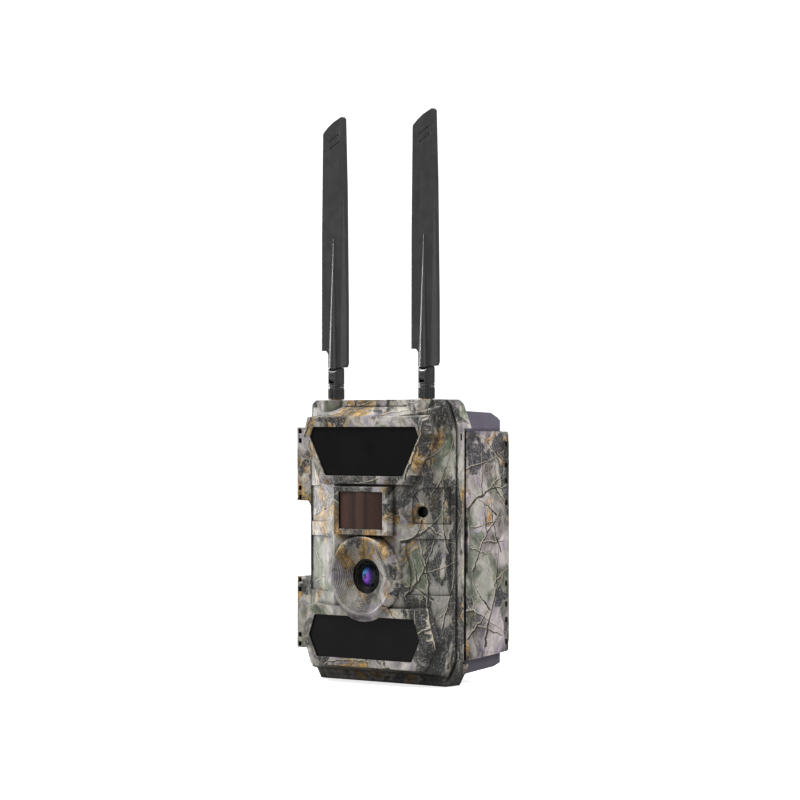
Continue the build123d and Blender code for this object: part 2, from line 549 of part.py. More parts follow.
def dc_plug():
    """Rubber plug: pad, hinge roll, the strip joining them, and a pull tab."""
    x0, x1 = DC_X - 6.2, DC_X + 6.2
    return (box(x0, x1, DC_Y - 7.2, DC_Y + 5.4, SOCKET_Z + 0.2, SOCKET_Z + 2.0)
            + rod_x(DC_Y + 6.2, SOCKET_Z + 1.1, 0.9, x0, x1)
            + box(x0, x1, DC_Y + 5.0, DC_Y + 6.2, SOCKET_Z + 0.5, SOCKET_Z + 1.7)
            + box(DC_X - 2.5, DC_X + 2.5, DC_Y - 8.4, DC_Y - 7.0,
                  SOCKET_Z + 0.2, SOCKET_Z + 1.4))


write_part("rear_housing", rear_housing())
write_part("housing_seal", housing_seal())
write_part("tripod_insert", rod_z(0, SOCKET_Y, 4.8, SOCKET_Z, SOCKET_Z + 10.5)
           - rod_z(0, SOCKET_Y, SOCKET_R, SOCKET_Z - 1, SOCKET_Z + SOCKET_L))
write_part("dc_jack", rod_z(DC_X, DC_AXIS_Y, 4.0, SOCKET_Z + 3.2, 16.2)
           - rod_z(DC_X, DC_AXIS_Y, 2.9, SOCKET_Z, 14.8)
           + rod_z(DC_X, DC_AXIS_Y, 0.9, SOCKET_Z + 4.0, 15.5))
write_part("dc_plug", dc_plug())


# ---- battery pack ----
def battery_tray():
    tray = box(-44.2, 44.2, 36.4, 54.6, 16.8, 132.0)
    for z0, z1 in CELL_ROWS:
        tray = tray - box(-43.8, 43.8, 35, 53.8, z0 - 3.4, z1 + 2.6)
        for column in CELL_COLUMNS[:5]:
            x = column + CELL_PITCH / 2
            tray = tray + box(x - 0.15, x + 0.15, CELL_Y + 5.4, 54.2, z0 - 3.4, z1 + 2.6)
    return tray


def aa_cell(x, z0, z1, nub_up):
    if nub_up:
        return rod_z(x, CELL_Y, CELL_R, z0, z1 - 1.2) + rod_z(x, CELL_Y, 2.6, z1 - 1.4, z1)
    return rod_z(x, CELL_Y, CELL_R, z0 + 1.2, z1) + rod_z(x, CELL_Y, 2.6, z0, z0 + 1.4)


def contact_plate(i, z):
    """Plate across cells i and i + 1."""
    return box(CELL_COLUMNS[i] - 5.5, CELL_COLUMNS[i + 1] + 5.5, CELL_Y - 5, CELL_Y + 5,
               z, z + 0.5)


def spring(x, z, room):
    coil = Pos(x, CELL_Y, z + 0.3) * Helix(pitch=room * 0.8, height=room * 0.75, radius=3.2)
    start = Plane(origin=coil @ 0, z_dir=coil % 0)
    return sweep(start * Circle(0.25), path=coil, is_frenet=True)


write_part("battery_tray", battery_tray())
write_part("aa_cells", [aa_cell(x, z0, z1, nub_up=i % 2 == 0)
                        for z0, z1 in CELL_ROWS for i, x in enumerate(CELL_COLUMNS)])
write_part("battery_contacts", [contact_plate(i, z) for z0, z1 in CELL_ROWS
                                for i in range(0, 6, 2) for z in (z1 + 1.9, z0 - 3.2)])
# springs sit at the flat end of each cell
write_part("battery_springs", [
    spring(x, z0 - 2.6, 1.9) if i % 2 == 0 else spring(x, z1 + 0.35, 1.0)
    for z0, z1 in CELL_ROWS for i, x in enumerate(CELL_COLUMNS)])
# lead from the pack toward the main board, beside the cover hinge
write_part("battery_cable", cable([(-42.0, 36.2, 74.8), (-42.0, 32.5, 74.8),
                                   (-42.0, 32.5, 82.0), (-42.0, 28.0, 82.0)],
                                  bend=1.6, radius=1.3))


# ---- strap bracket ----
def toothed_rail(x):
    """Rail with 12 teeth pointing back, to bite into the bark."""
    points = [(63.1, 30.0)]
    for i in range(12):
        z = 30.0 + i * 7.5
        points += [(66.0, z + 0.6), (69.2, z + 3.75), (66.0, z + 6.9)]
    return prism_x(polygon(points + [(63.1, 120.0)]), x - 1.3, x + 1.3)


def back_bracket():
    """Seat, three bars and outer pad, leaving two strap tunnels running side to side."""
    plate = prism_y(round_rect(-47.4, 47.4, 16.0, 133.6, 7.0), 61.1, 63.1)
    block = prism_y(round_rect(-31, 31, 34.0, 116.0, 5.0), 63.0, 73.4, taper=4)
    seat = plate + (block & box(-40, 40, 62, STRAP_Y0, 0, 150))
    for x, z in BRACKET_SCREWS:
        seat = seat - rod_y(x, z, 1.6, 60, 66) - rod_y(x, z, 3.0, 62.0, 70)
    bars = [block & box(-40, 40, STRAP_Y0, STRAP_Y1, z0, z1)
            for z0, z1 in ((30.0, 39.5), (66.5, 83.5), (110.5, 120.0))]
    pad = ((block & box(-40, 40, STRAP_Y1, 80, 0, 150))
           - prism_y(round_rect(-20, 20, 70.0, 80.0, 2), 71.4, 80))
    return [seat, bars, pad, [toothed_rail(side * 41.0) for side in SIDES]]


write_part("back_bracket", back_bracket())
write_part("bracket_screws", [
    cross_screw(x, z, shank=(1.22, 55.6, 62.4), head=(2.8, 62.1, 63.6),
                slot=(0.35, 2, 63.0, 65)) for x, z in BRACKET_SCREWS])


# ---- side latch and hinge pins ----
def latch_panel():
    panel = (prism_x(polygon(LATCH_SIDE, 1.6), 47.0, 54.0)
             & prism_z(polygon(LATCH_PLAN), 0, 150))
    # hollow the inner face, leaving three ribs
    pocket = [(26.5, 20.0), (26.5, 128.0), (49.6, 128.0), (49.6, 23.0)]
    panel = panel - prism_x(polygon(pocket, 2.0), 48.0, 49.9)
    for z in (45.0, 75.0, 105.0):
        panel = panel + box(48.6, 50.2, 26.0, 50.0, z - 0.8, z + 0.8)
    for z0, z1 in LATCH_HINGES:
        for bottom, top in ((z0, z0 + 8.5), (z0 + 13.9, z1 - 13.9), (z1 - 8.5, z1)):
            web = box(LATCH_X - 0.6, 52.0, 51.6, LATCH_Y, bottom, top)
            panel = add_latch_knuckle(panel + web, bottom, top)
        # small pockets in the outer face
        for z in (z0 + 4.6, z0 + 16.2, z1 - 15.6, z1 - 4.5):
            panel = panel - box(51.2, 54, 53.0, 54.7, z - 1.35, z + 1.35)
    # finger lip along the front edge
    return panel + box(49.2, 51.9, 22.2, 23.8, 60.0, 88.0)


def hinge_pins(x, y, radius, spans):
    return [rod_z(x, y, radius, z0 + 0.4, z1 - 0.4) for z0, z1 in spans]


write_part("latch_panel", latch_panel())
write_part("latch_hinge_pins", hinge_pins(LATCH_X, LATCH_Y, SMALL_PIN_R, LATCH_HINGES))
write_part("cover_hinge_pins", hinge_pins(HINGE_X, HINGE_Y, PIN_R, COVER_HINGES))
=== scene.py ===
# Trail camera in a camouflage case, with two antennas, a hinged cover and a side latch panel.
# Metres, +Z up. The front faces -Y; +X is on the right seen from the front. The CAD pieces
# get their materials here, and the battery lead, floor, lights and camera are built.
import math
import random
from functools import reduce
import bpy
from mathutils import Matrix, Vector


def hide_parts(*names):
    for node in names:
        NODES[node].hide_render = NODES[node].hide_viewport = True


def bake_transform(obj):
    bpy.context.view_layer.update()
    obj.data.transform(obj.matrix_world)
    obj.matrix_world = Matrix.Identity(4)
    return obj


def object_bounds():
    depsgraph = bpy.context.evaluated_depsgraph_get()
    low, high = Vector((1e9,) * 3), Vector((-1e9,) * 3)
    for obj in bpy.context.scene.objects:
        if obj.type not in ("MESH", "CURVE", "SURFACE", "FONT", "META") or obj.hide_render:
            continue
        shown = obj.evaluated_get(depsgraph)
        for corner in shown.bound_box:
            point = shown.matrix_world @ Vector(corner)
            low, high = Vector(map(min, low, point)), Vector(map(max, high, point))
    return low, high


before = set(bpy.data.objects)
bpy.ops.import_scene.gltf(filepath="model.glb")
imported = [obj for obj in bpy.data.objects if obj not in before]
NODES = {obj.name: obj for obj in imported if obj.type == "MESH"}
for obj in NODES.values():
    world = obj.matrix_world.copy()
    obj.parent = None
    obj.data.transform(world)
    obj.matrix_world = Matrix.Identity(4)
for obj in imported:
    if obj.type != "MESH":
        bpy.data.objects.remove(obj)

from types import SimpleNamespace

import bmesh
import bpy
from mathutils import Vector

MM = 0.001
cad_low, cad_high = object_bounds()
scene = bpy.context.scene

# Layout coordinates (mm) are object coordinates plus this offset.
# The camouflage tables and the battery lead are laid out in them.
LAYOUT_OFFSET = (0.0, 42.0, 5.0)


# ------------------------------------------------------------------ shader helpers
def rgb(colour):
    """Linear RGBA from three 0-255 sRGB values; four values are linear already."""
    if len(colour) == 4:
        return colour
    linear = []
    for value in colour:
        value = value / 255.0
        linear.append(value / 12.92 if value <= 0.04045 else ((value + 0.055) / 1.055) ** 2.4)
    return (*linear, 1.0)


def grey(value):
    """Linear grey."""
    return (value, value, value, 1)


class Net:
    """Adds shader nodes to a tree. Colours are given as in rgb(), or as sockets."""

    SURFACE_SOCKETS = {
        "base": "Base Color", "rough": "Roughness", "metal": "Metallic",
        "spec": "Specular IOR Level", "normal": "Normal", "coat": "Coat Weight",
        "coat_rough": "Coat Roughness", "sheen": "Sheen Weight", "alpha": "Alpha",
        "emit": "Emission Color", "emit_strength": "Emission Strength",
    }

    def __init__(self, tree):
        self.tree = tree

    def put(self, socket, value):
        if isinstance(value, bpy.types.NodeSocket):
            self.tree.links.new(value, socket)
        else:
            socket.default_value = value

    def node(self, kind, inputs=(), **settings):
        """New node with its settings and the inputs that are not None."""
        node = self.tree.nodes.new("ShaderNode" + kind)
        for name, value in settings.items():
            setattr(node, name, value)
        for key, value in dict(inputs).items():
            if value is not None:
                self.put(node.inputs[key], value)
        return node

    def math(self, operation, first, second=None):
        return self.node("Math", {0: first, 1: second}, operation=operation).outputs[0]

    def add(self, first, second):
        return self.math("ADD", first, second)

    def mul(self, first, second):
        return self.math("MULTIPLY", first, second)

    def sub(self, first, second):
        return self.math("SUBTRACT", first, second)

    def radius(self, across, up):
        return self.math("SQRT", self.add(self.mul(across, across), self.mul(up, up)))

    def combine(self, x, y, z):
        return self.node("CombineXYZ", {0: x, 1: y, 2: z}).outputs[0]

    def split(self, vector):
        return self.node("SeparateXYZ", {0: vector}).outputs[:]

    def vector(self, operation, first, second=None, scale=None):
        inputs = {0: first, 1: second, "Scale": scale}
        node = self.node("VectorMath", inputs, operation=operation)
        return node.outputs[1 if operation in ("LENGTH", "DOT_PRODUCT") else 0]

    def place(self, point, shift=(0, 0, 0), turn=0, tilt=0, stretch=(1, 1, 1)):
        """Mapping with turn about z and tilt about y, in radians."""
        return self.node("Mapping", {0: point, 1: shift, 2: (0, tilt, turn), 3: stretch}).outputs[0]

    def noise(self, point, scale, detail=2, rough=0.5, dist=0, output="Fac", **placing):
        if placing:
            point = self.place(point, **placing)
        inputs = {"Vector": point, "Scale": scale, "Detail": detail,
                  "Roughness": rough, "Distortion": dist}
        return self.node("TexNoise", inputs).outputs[output]

    def voronoi(self, point, scale, feature="F1", randomness=1.0):
        inputs = {"Vector": point, "Scale": scale, "Randomness": randomness}
        return self.node("TexVoronoi", inputs, feature=feature).outputs

    def wave(self, point, scale, axis="X", dist=0, detail=0, detail_scale=1):
        inputs = {"Vector": point, "Scale": scale, "Distortion": dist,
                  "Detail": detail, "Detail Scale": detail_scale}
        return self.node("TexWave", inputs, bands_direction=axis).outputs["Fac"]

    def ramp(self, value, stops):
        node = self.node("ValToRGB", {0: value})
        elements = node.color_ramp.elements
        while len(elements) > 1:
            elements.remove(elements[-1])
        elements[0].position = stops[0][0]
        elements[0].color = rgb(stops[0][1])
        for position, colour in stops[1:]:
            elements.new(position).color = rgb(colour)
        return node.outputs[0]

    def two_tone(self, field, low, high):
        return self.ramp(field, [(0.3, low), (0.7, high)])

    def rise(self, value, start, end):
        """Smooth step, 0 at start and 1 at end."""
        node = self.node("MapRange", {0: value, 1: start, 2: end}, interpolation_type="SMOOTHSTEP")
        return node.outputs[0]

    def fall(self, value, start, end):
        """Smooth step, 1 at start and 0 at end."""
        return self.sub(1.0, self.rise(value, start, end))

    def band(self, value, rise_start, rise_end, fall_start, fall_end):
        return self.mul(self.rise(value, rise_start, rise_end),
                        self.fall(value, fall_start, fall_end))

    def remap(self, value, from_low, from_high, to_low, to_high):
        inputs = {0: value, 1: from_low, 2: from_high, 3: to_low, 4: to_high}
        return self.node("MapRange", inputs).outputs[0]

    def spread(self, field, low, high):
        """Takes the usual span of a noise, 0.3 to 0.7, to low..high."""
        return self.remap(field, 0.3, 0.7, low, high)

    def mix(self, base, over, mask=None, amount=None, mode="MIX"):
        """Lays over on base where mask says, weakened by amount."""
        if mask is None:
            factor = amount
        elif amount is None:
            factor = mask
        else:
            factor = self.mul(mask, amount)
        colours = [item if isinstance(item, bpy.types.NodeSocket) else rgb(item)
                   for item in (base, over)]
        node = self.node("Mix", {0: factor}, data_type="RGBA", blend_type=mode)
        self.put(node.inputs[6], colours[0])
        self.put(node.inputs[7], colours[1])
        return node.outputs[2]

    def mottle(self, base, field, low, high, amount):
        """Overlays a noise as light and dark grain."""
        grain = self.two_tone(field, grey(low), grey(high))
        return self.mix(base, grain, amount=amount, mode="OVERLAY")

    def bump(self, height, strength, depth, normal=None):
        inputs = {"Strength": strength, "Distance": depth, "Height": height, "Normal": normal}
        return self.node("Bump", inputs).outputs[0]

    def bevel(self, radius):
        return self.node("Bevel", {"Radius": radius}, samples=4).outputs[0]

    def edge_wear(self, bevelled, edge, patches):
        """Mask of rubbed edges: where the bevelled normal leaves the true one, in patches."""
        normal = self.node("NewGeometry").outputs["Normal"]
        bend = self.sub(1.0, self.vector("DOT_PRODUCT", bevelled, normal))
        return self.mul(self.rise(bend, *edge), patches)

    def occlusion(self, distance):
        return self.node("AmbientOcclusion", {"Distance": distance}, samples=6).outputs["AO"]

    def camera_ray(self):
        return self.node("LightPath").outputs["Is Camera Ray"]

    def finish(self, **values):
        """Sets the surface's sockets and gives back the material."""
        for name, value in values.items():
            self.put(self.surface.inputs[self.SURFACE_SOCKETS[name]], value)
        return self.material


def new_material(name):
    """Empty material net, and the object coordinates in mm."""
    material = bpy.data.materials.new(name)
    material.use_nodes = True
    material.node_tree.nodes.clear()
    net = Net(material.node_tree)
    net.material = material
    output = net.node("OutputMaterial")
    net.surface = net.node("BsdfPrincipled")
    net.put(output.inputs[0], net.surface.outputs[0])
    place = net.node("TexCoord").outputs["Object"]
    return net, net.vector("SCALE", place, scale=1.0 / MM)


def dress(material, *pieces):
    for piece in pieces:
        slots = NODES[piece].data.materials
        slots.clear()
        slots.append(material)


# ------------------------------------------------------------------ camouflage tables
# Twigs in the pattern plane: along, up, angle (radians), length, half width (mm)
FRONT_TWIGS = [
    (30, 108, 1.25, 52, 0.75), (36, 122, 2.25, 22, 0.42), (38, 118, 0.55, 20, 0.40),
    (44, 100, 1.05, 34, 0.50), (24, 74, 0.55, 36, 0.85), (33, 79, 1.30, 24, 0.45),
    (40, 83, -0.35, 22, 0.42), (27, 46, 1.00, 44, 0.95), (36, 60, 0.15, 26, 0.50),
    (33, 55, 1.90, 20, 0.45), (46, 20, 1.75, 62, 1.15), (44, 46, 2.60, 20, 0.55),
    (43, 58, 2.2, 18, 0.45), (52, 30, 1.35, 70, 0.55), (24, 20, 0.60, 34, 0.80),
    (34, 27, 1.45, 18, 0.42), (-46, 88, 0.45, 34, 0.60), (-38, 92, 1.30, 20, 0.38),
    (-40, 62, 2.35, 20, 0.45), (-46, 52, 0.2, 18, 0.40), (-30, 104, -0.5, 18, 0.35),
    (-44, 128, 1.0, 22, 0.5), (-52, 76, 1.2, 30, 0.45), (-40, 8, 0.12, 46, 0.60),
    (4, 8, 0.0, 44, 0.5), (-6, 106, 0.2, 26, 0.35), (10, 142, 0.35, 30, 0.5),
    (-34, 143, 0.2, 26, 0.45), (-14, 72, 2.3, 18, 0.4), (12, 44, -0.7, 20, 0.45),
    (55, 70, 1.7, 44, 0.5), (-54, 110, 1.4, 26, 0.5),
]
SIDE_TWIGS = [
    (24, 92, 0.62, 38, 0.85), (33, 99, 1.45, 24, 0.50), (41, 104, 0.10, 16, 0.45),
    (44, 106, -0.9, 26, 0.42), (22, 112, 0.35, 34, 0.45), (26, 60, 0.95, 48, 0.70),
    (36, 74, 0.15, 22, 0.42), (40, 80, 1.75, 22, 0.40), (22, 40, -0.35, 34, 0.50),
    (38, 20, 1.35, 52, 0.85), (42, 40, 2.35, 22, 0.50), (44, 52, 0.55, 18, 0.40),
    (24, 24, 0.85, 26, 0.75), (30, 30, -0.15, 24, 0.45), (50, 70, 1.9, 40, 0.50),
    (23, 74, -0.25, 26, 0.42), (46, 88, 2.5, 24, 0.42), (25, 84, 0.1, 30, 0.36),
    (52, 118, 2.6, 26, 0.42),
]

# Soft ellipses that draw a layer in, or keep it away where the weight is negative:
# along, up, half width, half height (mm), weight
FRONT_BARK = [
    (44, 142, 13, 12, 0.16), (41, 122, 6, 24, 0.16), (34, 104, 10, 7, 0.14),
    (46, 100, 9, 14, 0.08), (42, 70, 10, 26, 0.13), (30, 44, 12, 14, 0.13),
    (44, 26, 14, 26, 0.15), (60, 60, 9, 90, 0.14), (60, 8, 14, 14, 0.16),
    (8, 148, 24, 5, 0.08), (-4, 140, 40, 3.5, 0.10), (-30, 146, 10, 8, -0.08),
    (0, 57, 20, 20, -0.06), (-38, 60, 12, 60, -0.12), (30, 60, 10, 12, -0.10),
    (26, 84, 8, 10, -0.06),
]
FRONT_OCHRE = [
    (-16, 106, 14, 5, 0.12), (22, 104, 10, 7, 0.14), (-37, 100, 9, 9, 0.12),
    (-19, 88, 4, 12, 0.12), (19, 86, 5, 14, 0.12), (14, 72, 9, 8, 0.12), (0, 79, 24, 4, 0.12),
    (-6, 6, 44, 6, 0.12), (36, 26, 8, 12, 0.10), (42, 128, 6, 16, 0.08),
    (-10, 146, 16, 7, 0.09), (-22, 40, 12, 4, 0.10), (52, 94, 6, 12, 0.07),
    (36, 58, 12, 14, -0.2), (-40, 66, 8, 20, -0.2), (-24, 60, 9, 18, -0.12),
]
FRONT_SAGE = [
    (-42, 70, 9, 26, 0.14), (-45, 44, 8, 9, 0.12), (44, 92, 9, 8, 0.14), (52, 128, 8, 10, 0.12),
    (50, 14, 10, 8, 0.08), (20, 60, 10, 20, -0.1), (-30, 130, 14, 14, -0.1),
]
SIDE_BARK = [
    (36, 126, 20, 12, 0.13), (34, 46, 22, 9, 0.13), (28, 118, 10, 10, 0.08),
    (38, 86, 16, 22, -0.10), (36, 68, 16, 12, -0.10),
]
SIDE_OCHRE = [
    (26, 132, 7, 6, 0.08), (34, 96, 10, 6, 0.08), (40, 88, 5, 6, 0.08), (38, 60, 30, 26, -0.10),
]
SIDE_SAGE = [
    (27, 90, 7, 10, 0.10), (44, 66, 8, 12, 0.10), (54, 40, 8, 16, 0.12), (28, 72, 6, 6, 0.08),
]


def scatter_twigs(seed, along_span, up_span, stems, width, side_twigs):
    """Random upright stems with side twigs, in the columns of the twig tables."""
    draw = random.Random(seed)
    twigs = []
    for _ in range(stems):
        along = draw.uniform(*along_span)
        up = draw.uniform(*up_span)
        angle = math.pi / 2 + draw.uniform(-0.6, 0.6)
        length = draw.uniform(34, 66)
        stem_width = width * draw.uniform(0.7, 1.25)
        twigs.append((along, up, angle, length, stem_width))
        side = draw.choice((-1, 1))
        for _ in range(side_twigs):
            reach = length * draw.uniform(0.18, 0.8)
            fork = (along + math.cos(angle) * reach, up + math.sin(angle) * reach)
            side_angle = angle + side * draw.uniform(0.45, 1.0)
            side = -side
            side_length = length * draw.uniform(0.28, 0.55)
            twigs.append((*fork, side_angle, side_length, stem_width * draw.uniform(0.45, 0.7)))
    return twigs


# ------------------------------------------------------------------ camouflage layers
def build_twig_group():
    """One tapering twig as a dark body mask and the light rim on one side of it."""
    group = bpy.data.node_groups.new("twig", "ShaderNodeTree")
    for name in ("U", "V", "Cos", "Sin", "Length", "Width", "Phase"):
        group.interface.new_socket(name, in_out="INPUT", socket_type="NodeSocketFloat")
    for name in ("Dark", "Light"):
        group.interface.new_socket(name, in_out="OUTPUT", socket_type="NodeSocketFloat")
    entry = group.nodes.new("NodeGroupInput")
    result = group.nodes.new("NodeGroupOutput")
    net = Net(group)
    right, up, cosine, sine, length, width, phase = entry.outputs[:7]
    along = net.add(net.mul(right, cosine), net.mul(up, sine))
    across = net.sub(net.mul(up, cosine), net.mul(right, sine))
    # a gentle natural bend
    bend = net.math("SINE", net.add(net.mul(along, 0.14), phase))
    across = net.add(across, net.mul(bend, 1.3))
    part = net.math("DIVIDE", along, length)
    taper = net.math("MAXIMUM", net.sub(1.0, net.mul(part, 0.85)), 0.0)
    half = net.mul(width, taper)
    ends = net.mul(net.rise(along, -0.4, 0.4), net.fall(part, 0.97, 1.0))
    outside = net.sub(net.math("ABSOLUTE", across), half)
    dark = net.mul(net.fall(outside, -0.12, 0.16), ends)
    beside = net.sub(across, net.mul(half, 1.02))
    rim = net.band(beside, -0.15, 0.05, net.add(0.12, net.mul(half, 0.35)),
                   net.add(0.35, net.mul(half, 0.5)))
    net.put(result.inputs[0], dark)
    net.put(result.inputs[1], net.mul(rim, ends))
    return group


TWIG_GROUP = build_twig_group()


def pattern_plane(net, point, seed, wrap):
    """Flat pattern coordinates in layout mm, and the same ones warped."""
    x, y, z = [net.add(part, offset) for part, offset in zip(net.split(point), LAYOUT_OFFSET)]
    if wrap == "front":
        # the pattern runs on around the corners, from 4 mm of depth
        depth = net.math("MAXIMUM", net.sub(y, 4.0), 0.0)
        along = net.add(x, net.mul(net.math("SIGN", x), depth))
    elif wrap == "side":
        along = net.add(y, net.mul(net.sub(x, 51.0), 0.4))
    else:
        along = net.add(x, net.mul(y, 0.5))
    # level faces take the pattern along the depth, so it doesn't smear there
    facing = net.split(net.node("NewGeometry").outputs["True Normal"])[2]
    level = net.rise(net.math("ABSOLUTE", facing), 0.80, 0.86)
    up = net.add(z, net.mul(net.mul(net.math("SIGN", facing), level), y))
    flat = net.combine(along, up, net.mul(y, 0.25))

    def drift(scale, shift):
        colour = net.noise(flat, scale=scale, output="Color", shift=shift)
        return net.vector("SUBTRACT", colour, (0.5, 0.5, 0.5))

    swell = drift(scale=0.045, shift=(seed, 0, 0))
    ripple = drift(scale=0.22, shift=(0, seed, 3))
    warped = net.vector("ADD", flat, net.vector("SCALE", swell, scale=16.0))
    warped = net.vector("ADD", warped, net.vector("SCALE", ripple, scale=2.6))
    return SimpleNamespace(along=along, up=up, flat=flat, ripple=ripple, warped=warped, seed=seed)


def lean(net, plane, field, spots):
    """Adds the soft ellipses of a table to a noise field."""
    def ellipse(along, up, half_width, half_height, weight):
        right = net.mul(net.sub(plane.along, along), 1.0 / half_width)
        rise = net.mul(net.sub(plane.up, up), 1.0 / half_height)
        distance = net.add(net.mul(right, right), net.mul(rise, rise))
        return net.mul(net.fall(distance, 0.15, 1.0), weight)

    if not spots:
        return field
    return net.add(field, reduce(net.add, [ellipse(*spot) for spot in spots]))


def ground_and_sage(net, plane, spots):
    """Grey-brown wash with sage leaves over it."""
    seed, warped = plane.seed, plane.warped
    broad = net.noise(warped, scale=0.034, detail=3, dist=0.5, shift=(seed * 1.7, 5, 0),
                      turn=0.5, stretch=(1.0, 0.7, 1))
    base = net.ramp(broad, [
        (0.28, (60, 59, 50)), (0.37, (100, 98, 85)), (0.44, (148, 145, 137)),
        (0.50, (132, 126, 134)), (0.56, (182, 177, 171)), (0.63, (128, 124, 117)),
        (0.72, (74, 76, 61))])
    blades = net.noise(warped, scale=0.10, detail=4, rough=0.58, dist=0.4, shift=(2, seed, 0),
                       turn=-0.7, stretch=(1.5, 0.5, 1))
    shade = net.ramp(blades, [(0.3, (0.22, 0.21, 0.19, 1)), (0.5, (0.56, 0.55, 0.54, 1)),
                              (0.7, (0.95, 0.93, 0.92, 1))])
    base = net.mix(base, shade, amount=0.6, mode="OVERLAY")
    field = net.noise(warped, scale=0.036, rough=0.45, dist=0.3, shift=(seed * 0.6, 31, 2))
    field = lean(net, plane, field, spots)
    sage = net.ramp(blades, [(0.3, (58, 70, 50)), (0.55, (98, 112, 84)), (0.75, (138, 146, 118))])
    return net.mix(base, sage, net.rise(field, 0.57, 0.63), amount=0.8)


def ochre_leaves(net, plane, base, spots):
    """Dry leaves with dark veins and a dark outline."""
    field = net.noise(plane.warped, scale=0.050, detail=4, rough=0.60, dist=0.9,
                      shift=(plane.seed * 2.3, -17, 5), turn=0.9, stretch=(1, 0.75, 1))
    field = lean(net, plane, field, spots)
    vein = net.voronoi(net.place(plane.warped, turn=0.4, stretch=(1, 0.6, 1)), scale=0.16,
                       feature="DISTANCE_TO_EDGE")["Distance"]
    ochre = net.ramp(net.noise(plane.warped, scale=0.3, detail=3, rough=0.6), [
        (0.32, (84, 64, 34)), (0.46, (152, 116, 54)), (0.58, (192, 152, 76)),
        (0.7, (212, 182, 118))])
    ochre = net.mix(ochre, (52, 40, 28), net.fall(vein, 0.01, 0.06), amount=0.7)
    base = net.mix(base, ochre, net.rise(field, 0.558, 0.583), amount=0.88)
    return net.mix(base, (46, 38, 32), net.band(field, 0.538, 0.558, 0.558, 0.573), amount=0.7)


def leaf_shards(net, plane, base):
    """Small overlapping shards, in loose drifts."""
    cells = net.voronoi(net.place(plane.warped, turn=0.8, stretch=(1.0, 0.42, 1)), scale=0.19)
    pick = net.split(cells["Color"])[0]
    drifts = net.noise(plane.flat, scale=0.04, shift=(plane.seed, plane.seed, 9))
    mask = net.mul(net.rise(drifts, 0.5, 0.56), net.rise(pick, 0.52, 0.56))
    mask = net.mul(mask, net.fall(cells["Distance"], 0.30, 0.42))
    shard = net.ramp(pick, [(0.5, (48, 48, 42)), (0.68, (100, 95, 80)), (0.85, (168, 156, 132)),
                            (0.97, (92, 70, 44))])
    return net.mix(base, shard, mask, amount=0.7)


def bark_areas(net, plane, base, flecks, spots):
    """Bark with long fibres, pale flecks, dark pits and a broken pale outline."""
    field = net.noise(plane.warped, scale=0.042, detail=4, rough=0.58, dist=0.7,
                      shift=(plane.seed * 3.1, 8, 0), turn=-0.38, stretch=(1.1, 0.62, 1))
    field = lean(net, plane, field, spots)
    fibres = net.noise(plane.flat, scale=0.80, detail=5, rough=0.74, dist=1.8,
                       turn=-0.38, stretch=(1.0, 0.30, 1))
    bark = net.ramp(fibres, [(0.36, (5, 6, 8)), (0.46, (20, 22, 26)), (0.54, (52, 55, 60)),
                             (0.62, (118, 118, 114))])
    bark = net.mix(bark, (158, 157, 152), net.rise(flecks, 0.55, 0.61), amount=0.78)
    pits = net.noise(plane.flat, scale=1.7, detail=3, rough=0.7, dist=0.3)
    bark = net.mix(bark, (8, 9, 11), net.rise(pits, 0.54, 0.60), amount=0.75)
    base = net.mix(base, bark, net.rise(field, 0.535, 0.565), amount=0.92)
    outline = net.band(field, 0.515, 0.535, 0.535, 0.553)
    broken = net.mul(net.rise(flecks, 0.44, 0.54), 0.75)
    return net.mix(base, (190, 182, 160), net.mul(outline, broken))


def soft_shading(net, plane, base):
    """Printed light and shade between the leaves."""
    field = net.noise(plane.warped, scale=0.075, detail=3, rough=0.6, dist=0.8,
                      shift=(plane.seed, 77, 1), turn=0.2, stretch=(1.0, 0.6, 1))
    base = net.mix(base, (30, 30, 28), net.rise(field, 0.52, 0.64), amount=0.72)
    return net.mix(base, (214, 209, 200), net.rise(field, 0.47, 0.36), amount=0.42)


def twig_layer(net, plane, base, flecks, twigs):
    rippled = net.vector("ADD", plane.flat, net.vector("SCALE", plane.ripple, scale=3.2))
    right, rise = net.split(rippled)[:2]
    draw = random.Random(plane.seed + 99)
    masks = []
    for along, up, angle, length, width in twigs:
        inputs = {0: net.sub(right, along), 1: net.sub(rise, up), 2: math.cos(angle),
                  3: math.sin(angle), 4: length, 5: width, 6: draw.uniform(0, 6.28)}
        masks.append(net.node("Group", inputs, node_tree=TWIG_GROUP).outputs)
    dark, light = [reduce(lambda one, other: net.math("MAXIMUM", one, other),
                          [mask[index] for mask in masks]) for index in (0, 1)]
    base = net.mix(base, (208, 198, 178), light, amount=0.78)
    wood = net.ramp(flecks, [(0.4, (22, 21, 21)), (0.6, (52, 47, 42)), (0.7, (98, 86, 70))])
    return net.mix(base, wood, dark, amount=0.95)


def litter(net, plane, base):
    """Dark needles and pale chips over everything, then fine print grain."""
    flat, seed = plane.flat, plane.seed
    needles = net.noise(flat, scale=1.05, detail=5, rough=0.74, dist=0.5, shift=(seed, 0, 3),
                        turn=0.7, stretch=(1.0, 0.45, 1))
    base = net.mix(base, (30, 28, 26), net.rise(needles, 0.575, 0.62), amount=0.55)
    chips = net.noise(flat, scale=0.9, detail=5, rough=0.74, dist=0.4, shift=(3, seed, 8),
                      turn=-0.5, stretch=(1.0, 0.5, 1))
    base = net.mix(base, (196, 188, 170), net.rise(chips, 0.585, 0.63), amount=0.50)
    grain = net.noise(flat, scale=2.6, rough=0.6)
    return net.mottle(base, grain, low=0.25, high=0.85, amount=0.22)


